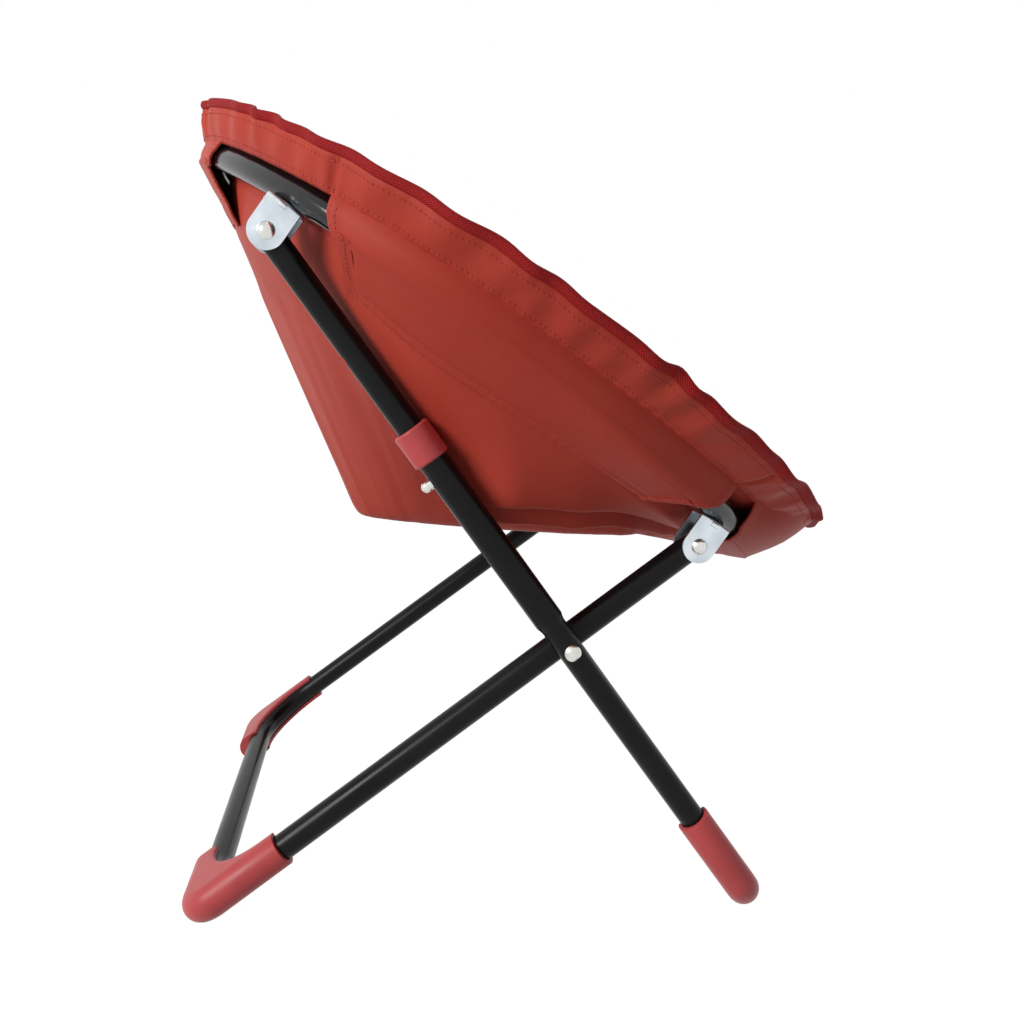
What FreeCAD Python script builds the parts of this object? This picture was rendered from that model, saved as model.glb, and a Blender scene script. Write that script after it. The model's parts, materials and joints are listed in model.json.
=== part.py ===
import FreeCAD, Part
import math
import os

os.makedirs("parts", exist_ok=True)

# Kids folding chair: two crossed U-shaped leg frames under a tilted ring that carries a fabric dish.
# Millimetres, +Z up. The sitter faces -Y and the sitter's left is +X. The origin is on the floor, under the
# middle of the chair. Leg distances are measured along each leg from the crossing pivot, positive upwards.
V = FreeCAD.Vector

# Tubes
REAR_TUBE_OD = 16.0
REAR_TUBE_WALL = 1.2
SLIDE_TUBE_OD = 15.0
SLIDE_TUBE_WALL = 1.1
SLEEVE_WALL = 1.0
SLIDE_CLEARANCE = 0.1
HOOP_TUBE_OD = 16.0
HOOP_TUBE_WALL = 1.2

# Leg frames
PIVOT_Y = -11.43
REAR_LEG_ANGLE = 35.5
REAR_LEG_LENGTH = 260.0
REAR_LEG_TOP = 97.0
REAR_HALF_WIDTH = 163.0
FRONT_LEG_ANGLE = 54.7
FRONT_LEG_TOP = 282.0
SPACER_THICKNESS = 6.5
SPACER_RADIUS = 6.5
SPACER_GAP = 0.3
REAR_BEND_RADIUS = 48.0
FRONT_BEND_RADIUS = 48.0
TUBE_END_PAST_PIVOT = 8.5
PLUG_DEPTH = 4.5
PLUG_EDGE = 0.5
PLUG_CROWN = 2.0

# Telescoping front legs; the sleeve's top is measured from the lock
SLEEVE_FOOT = 18.0
SLEEVE_FLARE = 4.0
SLEEVE_TOP = 28.5
SLIDE_END_GAP = 1.0
COLLAR_LENGTH = 21.0
COLLAR_RADIUS = 10.7
COLLAR_LIP = 3.0
COLLAR_CLEARANCE = 0.4
COLLAR_CHAMFER = 1.0

# Lock
LOCK_HEIGHT = 124.5
BUTTON_RADIUS = 3.0
BUTTON_CLEARANCE = 0.1
BUTTON_PROUD = 6.0
BUTTON_NECK_RADIUS = 2.4
BUTTON_NECK_LENGTH = 1.0
BUTTON_SHOULDER = 1.8
BUTTON_CROWN = 2.0
LOCK_HOLE_RADIUS = 3.3
LEAF_THICKNESS = 0.8
LEAF_WIDTH = 5.6
LEAF_FACE = 5.4
LEAF_BELOW = 15.0
LEAF_ABOVE = 20.0
STUD_RADIUS = 2.9
STUD_SHORT = 0.1

# Corner caps
CAP_WALL = 2.4
CAP_FILL = 7.0
CAP_SIDE_FILL = 0.8
CAP_ARM = 54.5
CAP_CORNER_RADIUS = 13.0
CAP_LIP = 4.0
CAP_FLAT = 0.8

# Brackets and rivets
BRACKET_PLATE = 1.8
BRACKET_WIDTH = 20.0
BRACKET_PIVOT_DROP = 18.0
BRACKET_SIDE_GAP = 0.3
BRACKET_BEND = 2.6
BRACKET_SEAT = 0.6
LUG_WIDTH = 4.0
LUG_RADIUS = 1.5
RIVET_RADIUS = 2.5
RIVET_CLEARANCE = 0.05
RIVET_HEAD_RADIUS = 4.8
RIVET_HEAD_EDGE = 0.4
RIVET_HEAD_HEIGHT = 2.6
FIXING_RADIUS = 2.0
FIXING_HEAD_RADIUS = 3.6
FIXING_HEAD_EDGE = 0.3
FIXING_HEAD_HEIGHT = 1.4
FIXING_TAIL_RADIUS = 2.8
FIXING_TAIL_GAP = 0.9
FIXING_TAIL_HEIGHT = 1.2

# Ring
HOOP_REAR_REACH = 78.0
HOOP_FRONT_REACH = 74.0

# Fabric
CLOTH = 1.5
CLOTH_CLEARANCE = 0.4
WRAP_ANGLES = (98, 133, 168)
WALL_INWARD = 16.0
SEAM_INWARD = 27.0
SEAM_DROP = 27.0
REAR_OPENING_BACK = 85.0
REAR_OPENING_SIDE = 32.0
FRONT_OPENING_SIDE = 20.0
FRONT_OPENING_FRONT = 20.0
DISH_HEEL_FROM_PIVOT = 115.0
DISH_HEEL_RISE = 58.3
DISH_FLOOR_LENGTH = 200.0
DISH_FLOOR_FALL = 19.0
DISH_FLOOR_HALF_WIDTH = 36.0
DISH_ARCS = 28
LOBE_DROP = 36.0
LOBE_REACH = 0.2
LOBE_SHOULDER = 0.52
CREASE_REACH = 0.34
CREASE_SHARE = 0.62
BELLY_REACH = 0.66
BELLY_SHARE = 0.18
LOBE_FIRST_ANGLE = 48.0
LOBE_LAST_ANGLE = 126.0
FOLD_DEPTH = 3.0
FLANGE_WIDTH = 16.3
FLANGE_FRONT_EXTRA = 12.1
FLANGE_RISE_ANGLE = 36.0
FLANGE_SEAT_ANGLE = 62.0
FLANGE_FRONT_SEAT_ANGLE = 18.0
FLANGE_FRONT_LIFT = 9.7
FLANGE_THICKNESS = 2.4
FLANGE_CLEARANCE = 0.4
PUCKER_COUNT = 44
PUCKER_HEIGHT = 1.8
BINDING_WIDTH = 6.5
BINDING_THICKNESS = 4.2

# Values that follow from the dimensions above
RIGHT = V(1, 0, 0)
UP = V(0, 0, 1)
rear_angle = math.radians(REAR_LEG_ANGLE)
front_angle = math.radians(FRONT_LEG_ANGLE)
rear_up = V(0, -math.cos(rear_angle), math.sin(rear_angle))
front_up = V(0, math.cos(front_angle), math.sin(front_angle))
button_out = V(0, math.sin(front_angle), -math.cos(front_angle))
rear_radius = REAR_TUBE_OD / 2
slide_radius = SLIDE_TUBE_OD / 2
slide_bore = slide_radius - SLIDE_TUBE_WALL
sleeve_bore = slide_radius + SLIDE_CLEARANCE
sleeve_radius = sleeve_bore + SLEEVE_WALL
hoop_radius = HOOP_TUBE_OD / 2
hoop_bore = hoop_radius - HOOP_TUBE_WALL
sleeve_mouth = LOCK_HEIGHT + SLEEVE_TOP
front_half_width = REAR_HALF_WIDTH + rear_radius + SPACER_THICKNESS + SPACER_GAP + slide_radius


def bar_height(tube_radius, angle):
    """Height of a crossbar's axis whose corner caps stand on the floor with a small flat."""
    return tube_radius + CAP_WALL + CAP_FILL * math.sin(angle) - CAP_FLAT


pivot = V(0, PIVOT_Y, bar_height(rear_radius, rear_angle) + REAR_LEG_LENGTH * math.sin(rear_angle))
front_leg_length = (pivot.z - bar_height(slide_radius, front_angle)) / math.sin(front_angle)
rear_hinge = pivot + front_up * FRONT_LEG_TOP
front_hinge = pivot + rear_up * REAR_LEG_TOP
half_span = rear_hinge.distanceToPoint(front_hinge) / 2
fold_travel = FRONT_LEG_TOP + REAR_LEG_TOP - 2 * half_span
upper_leg_foot = SLEEVE_FOOT + SLEEVE_FLARE + fold_travel + SLIDE_END_GAP

# Seat axes: forward runs down the ring's slope, out stands square to the ring, away from the dish
forward = (front_hinge - rear_hinge).normalize()
out = forward.cross(RIGHT)
plate_top = hoop_radius - BRACKET_SEAT
hinge_drop = plate_top + BRACKET_PIVOT_DROP
ring_centre = (rear_hinge + front_hinge) * 0.5 + out * hinge_drop


def seat(x, along, height):
    """Point given sideways, down the ring's slope and square to the ring's plane."""
    return ring_centre + RIGHT * x + forward * along + out * height


def front_leg(x, along):
    return pivot + RIGHT * x + front_up * along


def rear_leg(x, along):
    return pivot + RIGHT * x + rear_up * along


# General shapes
def arc(first, middle, last):
    return Part.Arc(first, middle, last).toShape()


def line(first, last):
    return Part.LineSegment(first, last).toShape()


def disc(centre, axis, radius, bore=0.0):
    """Round face, with a bore if one is given."""
    face = Part.Face(Part.Wire(Part.makeCircle(radius, centre, axis)))
    if bore == 0:
        return face
    return face.cut(Part.Face(Part.Wire(Part.makeCircle(bore, centre, axis)))).Faces[0]


def cylinder(start, axis, radius, length):
    return Part.makeCylinder(radius, length, start, axis)


def turned(profile, base, axis, side):
    """Solid turned about an axis from (radius, distance along the axis) points."""
    points = [base + side * radius + axis * along for radius, along in profile]
    face = Part.Face(Part.makePolygon(points + points[:1]))
    return face.revolve(base, axis, 360)


def crown(base, axis, side, radius, height):
    """Edge of a shallow dome, from its rim to its top on the axis."""
    ball = (radius * radius + height * height) / (2 * height)
    half = math.asin(min(1.0, radius / ball)) / 2
    middle = side * (ball * math.sin(half)) + axis * (height - ball * (1 - math.cos(half)))
    return arc(base + side * radius, base + middle, base + axis * height)


def domed(base, axis, side, radius, length, height):
    """Pin with a flat foot and a domed end."""
    top = base + axis * length
    edges = [line(base, base + side * radius), line(base + side * radius, top + side * radius)]
    edges.append(crown(top, axis, side, radius, height))
    edges.append(line(top + axis * height, base))
    return Part.Face(Part.Wire(edges)).revolve(base, axis, 360)


def headed(base, axis, side, length):
    """Rivet shank with one domed head standing on its far end."""
    shank = cylinder(base, axis, RIVET_RADIUS, length)
    return shank.fuse(domed(base + axis * length, axis, side, RIVET_HEAD_RADIUS, RIVET_HEAD_EDGE,
                            RIVET_HEAD_HEIGHT))


def u_path(at, half_width, top, foot, bend):
    """Edges of a U: down one leg, across the foot and up the other leg."""
    short = bend * (1 - math.sqrt(0.5))
    start = foot + bend
    inner = half_width - bend
    bulge = half_width - short
    return [line(at(half_width, top), at(half_width, start)),
            arc(at(half_width, start), at(bulge, foot + short), at(inner, foot)),
            line(at(inner, foot), at(-inner, foot)),
            arc(at(-inner, foot), at(-bulge, foot + short), at(-half_width, start)),
            line(at(-half_width, start), at(-half_width, top))]


def both_sides(shape):
    return [shape, mirrored(shape)]


def mirrored(shape):
    return shape.mirror(V(0, 0, 0), RIGHT)


def export(name, *solids):
    shape = solids[0] if len(solids) == 1 else Part.makeCompound(list(solids))
    shape.exportStep(os.path.join("parts", name + ".step"))
    volume = sum(solid.Volume for solid in shape.Solids)
    print("%-22s solids %d  volume %.1f  valid %s" % (name, len(shape.Solids), volume, shape.isValid()))


def cross_holes(base, radius):
    """Drill along X through both legs of a frame."""
    reach = 2 * front_half_width
    return cylinder(base - RIGHT * reach, RIGHT, radius, 2 * reach)


# Rear leg frame
def rear_frame_tube():
    top = REAR_LEG_TOP + TUBE_END_PAST_PIVOT
    path = Part.Wire(u_path(rear_leg, REAR_HALF_WIDTH, top, -REAR_LEG_LENGTH, REAR_BEND_RADIUS))
    section = disc(rear_leg(REAR_HALF_WIDTH, top), rear_up, rear_radius, rear_radius - REAR_TUBE_WALL)
    tube = path.makePipe(section)
    tube = tube.cut(cross_holes(front_hinge, RIVET_RADIUS + RIVET_CLEARANCE))
    return tube.cut(cross_holes(pivot, RIVET_RADIUS)).Solids[0]


def end_plug(end, axis, radius, bore):
    """Push-in plug with a low crown the width of the tube."""
    stem = cylinder(end - axis * PLUG_DEPTH, axis, bore, PLUG_DEPTH)
    return stem.fuse(domed(end, axis, RIGHT, radius, PLUG_EDGE, PLUG_CROWN))


def cross_rivet_inner():
    """Inner part of the crossing rivet: head inside the rear leg, shank through leg and spacer."""
    start = pivot + RIGHT * (REAR_HALF_WIDTH + rear_radius + SPACER_THICKNESS)
    return headed(start, -RIGHT, UP, SPACER_THICKNESS + REAR_TUBE_OD)


def cross_spacer():
    """Bush that keeps the legs apart, hollowed to sit on the rear leg."""
    start = pivot + RIGHT * REAR_HALF_WIDTH
    bush = cylinder(start, RIGHT, SPACER_RADIUS, rear_radius + SPACER_THICKNESS)
    leg = cylinder(rear_leg(REAR_HALF_WIDTH, -REAR_TUBE_OD), rear_up, rear_radius, 2 * REAR_TUBE_OD)
    return bush.cut(leg).cut(cross_holes(pivot, RIVET_RADIUS)).Solids[0]


# Front leg frame
def front_frame_tube():
    path = u_path(front_leg, front_half_width, SLEEVE_FOOT, -front_leg_length, FRONT_BEND_RADIUS)
    section = disc(front_leg(front_half_width, SLEEVE_FOOT), front_up, slide_radius, slide_bore)
    tube = Part.Wire(path).makePipe(section)
    flare = SLEEVE_FOOT + SLEEVE_FLARE
    sleeve = [(slide_bore, SLEEVE_FOOT), (slide_radius, SLEEVE_FOOT), (sleeve_radius, flare),
              (sleeve_radius, sleeve_mouth), (sleeve_bore, sleeve_mouth), (sleeve_bore, flare)]
    for x in (front_half_width, -front_half_width):
        tube = tube.fuse(turned(sleeve, front_leg(x, 0), front_up, RIGHT))
        start = front_leg(x, LOCK_HEIGHT)
        tube = tube.cut(cylinder(start, button_out, BUTTON_RADIUS + BUTTON_CLEARANCE, 2 * sleeve_radius))
    return tube.cut(cross_holes(pivot, RIVET_RADIUS)).removeSplitter().Solids[0]


def cross_rivet_outer():
    """Outer part of the crossing rivet: head outside the front leg, shank through the leg."""
    start = pivot + RIGHT * (front_half_width - slide_radius)
    return headed(start, RIGHT, UP, SLIDE_TUBE_OD)


def collar():
    """Moulded ring over the sleeve's mouth, with a lip that guides the upper leg."""
    top = sleeve_mouth + COLLAR_LIP
    foot = top - COLLAR_LENGTH
    lip = slide_radius + COLLAR_CLEARANCE
    edge = COLLAR_RADIUS - COLLAR_CHAMFER
    profile = [(sleeve_radius, foot), (edge, foot), (COLLAR_RADIUS, foot + COLLAR_CHAMFER),
               (COLLAR_RADIUS, top - COLLAR_CHAMFER), (edge, top), (lip, top), (lip, sleeve_mouth),
               (sleeve_radius, sleeve_mouth)]
    return turned(profile, front_leg(front_half_width, 0), front_up, RIGHT)


def lock_button():
    """Pin that stands out of the sleeve, with a neck under its domed head."""
    centre = front_leg(front_half_width, LOCK_HEIGHT)
    tip = sleeve_radius + BUTTON_PROUD - BUTTON_CROWN
    neck_end = tip - BUTTON_SHOULDER
    neck = neck_end - BUTTON_NECK_LENGTH
    foot = sleeve_bore + STUD_SHORT
    profile = [(0, foot), (BUTTON_RADIUS, foot), (BUTTON_RADIUS, neck), (BUTTON_NECK_RADIUS, neck),
               (BUTTON_NECK_RADIUS, neck_end), (0, neck_end)]
    stem = turned(profile, centre, button_out, RIGHT)
    base = centre + button_out * neck_end
    return stem.fuse(domed(base, button_out, RIGHT, BUTTON_RADIUS, BUTTON_SHOULDER, BUTTON_CROWN)).Solids[0]


# Upper legs
def upper_leg():
    """Straight tube with the lock hole for the open chair and, higher up, the one for the folded chair."""
    start = front_leg(front_half_width, upper_leg_foot)
    length = FRONT_LEG_TOP + TUBE_END_PAST_PIVOT - upper_leg_foot
    tube = cylinder(start, front_up, slide_radius, length)
    tube = tube.cut(cylinder(start, front_up, slide_bore, length))
    for height in (LOCK_HEIGHT, LOCK_HEIGHT + fold_travel):
        hole = cylinder(front_leg(front_half_width, height), button_out, LOCK_HOLE_RADIUS, SLIDE_TUBE_OD)
        tube = tube.cut(hole)
    return tube.cut(cross_holes(rear_hinge, RIVET_RADIUS + RIVET_CLEARANCE)).Solids[0]


def lock_spring():
    """Hairpin leaf inside the upper leg, with a stud that reaches into the lock hole."""
    def at(along, aside):
        return front_leg(front_half_width - LEAF_WIDTH / 2, LOCK_HEIGHT + along) + button_out * aside

    back = LEAF_FACE - LEAF_THICKNESS
    edges = [line(at(-LEAF_BELOW, back), at(-LEAF_BELOW, LEAF_FACE)),
             line(at(-LEAF_BELOW, LEAF_FACE), at(LEAF_ABOVE, LEAF_FACE)),
             arc(at(LEAF_ABOVE, LEAF_FACE), at(LEAF_ABOVE + LEAF_FACE, 0), at(LEAF_ABOVE, -LEAF_FACE)),
             line(at(LEAF_ABOVE, -LEAF_FACE), at(-LEAF_BELOW, -LEAF_FACE)),
             line(at(-LEAF_BELOW, -LEAF_FACE), at(-LEAF_BELOW, -back)),
             line(at(-LEAF_BELOW, -back), at(LEAF_ABOVE, -back)),
             arc(at(LEAF_ABOVE, -back), at(LEAF_ABOVE + back, 0), at(LEAF_ABOVE, back)),
             line(at(LEAF_ABOVE, back), at(-LEAF_BELOW, back))]
    leaf = Part.Face(Part.Wire(edges)).extrude(RIGHT * LEAF_WIDTH)
    base = front_leg(front_half_width, LOCK_HEIGHT) + button_out * back
    return leaf.fuse(cylinder(base, button_out, STUD_RADIUS, slide_radius - STUD_SHORT - back)).Solids[0]


# Corner caps
def corner_cap(leg_up, corner, tube_radius, bend):
    """Moulded corner: a channel round the tube's bend, filled out to a foot, open on the bend's inside."""
    square = RIGHT.cross(leg_up)
    radius = tube_radius + CAP_WALL

    def at(aside, down, off=0.0):
        return corner + RIGHT * aside - leg_up * down + square * off

    def elbow(side, down, turn, arm):
        """Edges of an L that turns with a given radius, shifted sideways and down from the tube's axes."""
        short = turn * (1 - math.sqrt(0.5))
        return [line(at(side, -arm), at(side, down - turn)),
                arc(at(side, down - turn), at(side - short, down - short), at(side - turn, down)),
                line(at(side - turn, down), at(-arm, down))]

    def slab(edges):
        face = Part.Face(Part.Wire(edges))
        face.translate(square * -radius)
        return face.extrude(square * (2 * radius))

    outer = elbow(CAP_SIDE_FILL, CAP_FILL, CAP_CORNER_RADIUS, CAP_ARM)
    inner = elbow(0, 0, bend, CAP_ARM)
    closing = [line(at(-CAP_ARM, CAP_FILL), at(-CAP_ARM, 0)),
               line(at(0, -CAP_ARM), at(CAP_SIDE_FILL, -CAP_ARM))]
    body = slab(outer + closing + inner)
    body = body.fuse(Part.Wire(outer).makePipe(disc(at(CAP_SIDE_FILL, -CAP_ARM), leg_up, radius)))
    body = body.fuse(Part.Wire(inner).makePipe(disc(at(0, -CAP_ARM), leg_up, radius)))
    long_arm = 2 * CAP_ARM
    bore = Part.Wire(elbow(0, 0, bend, long_arm)).makePipe(disc(at(0, -long_arm), leg_up, tube_radius))
    body = body.cut(bore)
    lip = elbow(-CAP_LIP, -CAP_LIP, bend - CAP_LIP, long_arm)
    lip.append(line(at(-long_arm, -CAP_LIP), at(-long_arm, -long_arm)))
    lip.append(line(at(-long_arm, -long_arm), at(-CAP_LIP, -long_arm)))
    body = body.cut(slab(lip))
    side = 2 * (front_half_width + REAR_LEG_LENGTH)
    ground = Part.makeBox(2 * side, 2 * side, side, V(-side, -side, -side))
    return body.cut(ground).removeSplitter().Solids[0]


# Ring, made of tangent arcs. An angle is that of the outward direction: 0 back, 90 left, 180 front.
def ring_arcs():
    """(first angle, last angle, centre sideways, centre along the slope, radius) of each arc of the ring."""
    back = (front_half_width ** 2 + HOOP_REAR_REACH ** 2) / (2 * HOOP_REAR_REACH)
    front = (REAR_HALF_WIDTH ** 2 + HOOP_FRONT_REACH ** 2) / (2 * HOOP_FRONT_REACH)
    back_turn = math.asin(front_half_width / back)
    front_turn = math.asin(REAR_HALF_WIDTH / front)
    rear_rise, rear_run = 1 - math.sin(back_turn), math.cos(back_turn)
    fore_rise, fore_run = 1 - math.sin(front_turn), math.cos(front_turn)
    step = front_half_width - REAR_HALF_WIDTH
    slope = fore_run / fore_rise
    rear_side = (2 * half_span - step * slope) / (rear_run + rear_rise * slope)
    fore_side = (step + rear_side * rear_rise) / fore_rise
    widest = front_half_width + rear_side * rear_rise
    level = rear_side * rear_run - half_span
    first, last = math.degrees(back_turn), 180 - math.degrees(front_turn)
    return [(-first, first, 0, back - half_span - HOOP_REAR_REACH, back),
            (first, 90, widest - rear_side, level, rear_side),
            (90, last, widest - fore_side, level, fore_side),
            (last, 360 - last, 0, half_span + HOOP_FRONT_REACH - front, front),
            (360 - last, 270, fore_side - widest, level, fore_side),
            (270, 360 - first, rear_side - widest, level, rear_side)]


ARCS = ring_arcs()
REAR_BRACKET_ANGLE = ARCS[0][1]
FRONT_BRACKET_ANGLE = ARCS[2][1]


def around(piece, angle, outward, height):
    """Point beside the ring: on one of its arcs, moved outwards and off the ring's plane."""
    turn = math.radians(angle)
    reach = piece[4] + outward
    return seat(piece[2] + reach * math.sin(turn), piece[3] - reach * math.cos(turn), height)


def swept(piece, first, last, section):
    """Turn a section, given as a face at the first angle, along one arc of the ring."""
    return section.revolve(seat(piece[2], piece[3], 0), -out, last - first)


def hoop_solid(radius, bore=0.0):
    parts = []
    for piece in ARCS:
        first, last = sorted(piece[:2])
        turn = math.radians(first)
        tangent = RIGHT * math.cos(turn) + forward * math.sin(turn)
        parts.append(swept(piece, first, last, disc(around(piece, first, 0, 0), tangent, radius, bore)))
    return parts[0].multiFuse(parts[1:]).removeSplitter().Solids[0]


BRACKETS = {"rear_left": (front_half_width, -half_span, slide_radius),
            "rear_right": (-front_half_width, -half_span, slide_radius),
            "front_left": (REAR_HALF_WIDTH, half_span, rear_radius),
            "front_right": (-REAR_HALF_WIDTH, half_span, rear_radius)}


def hoop_tube():
    tube = hoop_solid(hoop_radius, hoop_bore)
    for x, along, _ in BRACKETS.values():
        tube = tube.cut(cylinder(seat(x, along, -2 * hoop_radius), out, FIXING_RADIUS, 2 * hoop_radius))
    return tube.Solids[0]


def bracket(x, along, tube_radius, hoop):
    """Plate bent to a U: the web seats on the ring, the two ears take the leg's end and its hinge rivet."""
    inside = tube_radius + BRACKET_SIDE_GAP
    outside = inside + BRACKET_PLATE
    half = BRACKET_WIDTH / 2
    tip = -hinge_drop - half
    top = -plate_top
    under = top - BRACKET_PLATE
    inner_bend = BRACKET_BEND - BRACKET_PLATE

    def at(aside, height):
        return seat(x + aside, along - half, height)

    def corner(sign, wall, level, bend):
        """Rounded corner of the U, from the ear up to the web."""
        short = bend * (1 - math.sqrt(0.5))
        return arc(at(sign * wall, level - bend), at(sign * (wall - short), level - short),
                   at(sign * (wall - bend), level))

    web_out, web_in = outside - BRACKET_BEND, inside - inner_bend
    shoulder = top - BRACKET_BEND
    throat = under - inner_bend
    edges = [line(at(-outside, tip), at(-outside, shoulder)), corner(-1, outside, top, BRACKET_BEND),
             line(at(-web_out, top), at(web_out, top)), corner(1, outside, top, BRACKET_BEND),
             line(at(outside, shoulder), at(outside, tip)), line(at(outside, tip), at(inside, tip)),
             line(at(inside, tip), at(inside, throat)), corner(1, inside, under, inner_bend),
             line(at(web_in, under), at(-web_in, under)), corner(-1, inside, under, inner_bend),
             line(at(-inside, throat), at(-inside, tip)), line(at(-inside, tip), at(-outside, tip))]
    channel = Part.Face(Part.Wire(Part.__sortEdges__(edges))).extrude(forward * BRACKET_WIDTH)

    def ear(shift, height):
        return seat(x - outside, along + shift, height)

    sides = [line(ear(-half, 0), ear(-half, -hinge_drop)),
             arc(ear(-half, -hinge_drop), ear(0, tip), ear(half, -hinge_drop)),
             line(ear(half, -hinge_drop), ear(half, 0)), line(ear(half, 0), ear(-half, 0))]
    plate = channel.common(Part.Face(Part.Wire(sides)).extrude(RIGHT * (2 * outside)))
    for sign in (-1, 1):
        bead = seat(x + sign * outside, along - LUG_WIDTH / 2, shoulder)
        plate = plate.fuse(cylinder(bead, forward, LUG_RADIUS, LUG_WIDTH))
    hinge = seat(x, along, -hinge_drop)
    plate = plate.cut(hoop)
    plate = plate.cut(cylinder(hinge - RIGHT * (2 * outside), RIGHT, RIVET_RADIUS, 4 * outside))
    return plate.cut(cylinder(hinge, out, FIXING_RADIUS, hinge_drop)).Solids[0]


def hinge_rivet(x, along, tube_radius):
    """Rivet through both ears with a domed head on each."""
    reach = tube_radius + BRACKET_SIDE_GAP + BRACKET_PLATE
    middle = seat(x, along, -hinge_drop)
    rivet = headed(middle, RIGHT, UP, reach).fuse(headed(middle, -RIGHT, UP, reach))
    return rivet.removeSplitter().Solids[0]


def bracket_rivet(x, along):
    """Blind rivet from inside the bracket up through the web and the ring's wall."""
    under = seat(x, along, -plate_top - BRACKET_PLATE)
    tail = FIXING_TAIL_GAP + BRACKET_PLATE + plate_top - hoop_bore
    shank = cylinder(under, out, FIXING_RADIUS, tail)
    head = domed(under, -out, RIGHT, FIXING_HEAD_RADIUS, FIXING_HEAD_EDGE, FIXING_HEAD_HEIGHT)
    upset = cylinder(under + out * tail, out, FIXING_TAIL_RADIUS, FIXING_TAIL_HEIGHT)
    return shank.fuse(head).fuse(upset).Solids[0]


# Fabric
def sampled(count):
    """(arc, angle) pairs round the whole ring, about count steps of two samples each."""
    length = sum(abs(piece[1] - piece[0]) * piece[4] for piece in ARCS)
    samples = []
    for piece in ARCS:
        first, last = sorted(piece[:2])
        steps = 4 * max(1, round(count * (last - first) * piece[4] / length / 2))
        samples += [(piece, first + (last - first) * step / steps) for step in range(steps)]
    return samples


def swell(index, angle):
    """Fold height at a sample: level at each arc's ends, up and down in turn at the middles."""
    side = 1 if angle % 360 < 180 else -1
    return side * math.sin(math.pi * index / 2)


def ring_edges(points):
    """Closed ring of arcs, each through three of the points."""
    points = points + points[:1]
    return [arc(*points[k:k + 3]) for k in range(0, len(points) - 1, 2)]


def skins(rings):
    """Ruled faces between one ring of edges and the next."""
    return [Part.makeRuledSurface(a, b) for low, high in zip(rings, rings[1:]) for a, b in zip(low, high)]


def closed_solid(faces):
    sewn = Part.makeCompound(faces)
    sewn.sewShape()
    solid = Part.makeSolid(sewn.Shells[0])
    if solid.Volume < 0:
        solid.reverse()
    return solid


def pocket(spans):
    """Sleeve of cloth over the outside of the ring, down to the seam under it."""
    inner = hoop_radius + CLOTH_CLEARANCE
    outer = inner + CLOTH
    seam = V(-SEAM_INWARD, -SEAM_DROP, 0)
    lean = math.atan2(seam.y, seam.x) + math.acos(inner / seam.Length)
    solids = []
    for piece, first, last in spans:
        def at(radius, turn):
            return around(piece, first, radius * math.cos(turn), radius * math.sin(turn))

        def low(thick):
            return around(piece, first, seam.x + thick * math.cos(lean), seam.y + thick * math.sin(lean))

        half = (math.pi / 2 + lean) / 2
        crest = math.pi / 2
        edges = [arc(at(inner, crest), at(inner, half), at(inner, lean)), line(at(inner, lean), low(0)),
                 line(low(0), low(CLOTH)), line(low(CLOTH), at(outer, lean)),
                 arc(at(outer, lean), at(outer, half), at(outer, crest)),
                 line(at(outer, crest), at(inner, crest))]
        solids.append(swept(piece, first, last, Part.Face(Part.Wire(edges))))
    if len(solids) == 1:
        return solids[0]
    return solids[0].multiFuse(solids[1:]).removeSplitter().Solids[0]


def seat_dish():
    """Cloth dish: straight down the back, slack lobes at the sides, a low keel beneath."""
    samples = sampled(DISH_ARCS)
    wrap = hoop_radius + CLOTH_CLEARANCE + CLOTH
    back_end = -half_span - HOOP_REAR_REACH
    length = 2 * half_span + HOOP_REAR_REACH + HOOP_FRONT_REACH
    widest = ARCS[1][2] + ARCS[1][4]

    def keel(piece, angle, lift):
        edge = around(piece, angle, 0, 0)
        share = ((edge - ring_centre).dot(forward) - back_end) / length
        return V((DISH_FLOOR_HALF_WIDTH - lift) * edge.x / widest,
                 PIVOT_Y + DISH_HEEL_FROM_PIVOT - share * DISH_FLOOR_LENGTH,
                 pivot.z + DISH_HEEL_RISE - share * DISH_FLOOR_FALL + lift)

    def slack(angle):
        turn = min(angle % 360, 360 - angle % 360)
        window = (turn - LOBE_FIRST_ANGLE) / (LOBE_LAST_ANGLE - LOBE_FIRST_ANGLE)
        return math.sin(math.pi * min(1.0, max(0.0, window)))

    def ring(share, sag, lift):
        points = []
        inset = lift * math.sqrt(0.5)
        for index, (piece, angle) in enumerate(samples):
            seam = around(piece, angle, -SEAM_INWARD - CLOTH_CLEARANCE - inset, inset - SEAM_DROP)
            drop = sag * slack(angle) * (LOBE_DROP + FOLD_DEPTH * swell(index, angle))
            points.append(seam * (1 - share) + keel(piece, angle, lift) * share - UP * drop)
        return ring_edges(points)

    def beside(inward, height):
        return ring_edges([around(piece, angle, -inward, height) for piece, angle in samples])

    def wall(lift):
        rings = []
        for turn in WRAP_ANGLES:
            swing = math.radians(turn)
            rings.append(beside(lift - wrap * math.cos(swing), wrap * math.sin(swing)))
        rings.append(beside(WALL_INWARD + lift, -hoop_radius))
        for share, sag in ((0, 0), (LOBE_REACH / 2, LOBE_SHOULDER), (LOBE_REACH, 1),
                           (CREASE_REACH, CREASE_SHARE), (BELLY_REACH, BELLY_SHARE), (1, 0)):
            rings.append(ring(share, sag, lift))
        return rings

    outside = wall(0)
    inside = wall(CLOTH)
    faces = skins(outside) + skins(inside) + skins([outside[0], inside[0]])
    faces += [Part.Face(Part.Wire(outside[-1])), Part.Face(Part.Wire(inside[-1]))]
    return closed_solid(faces)


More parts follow.
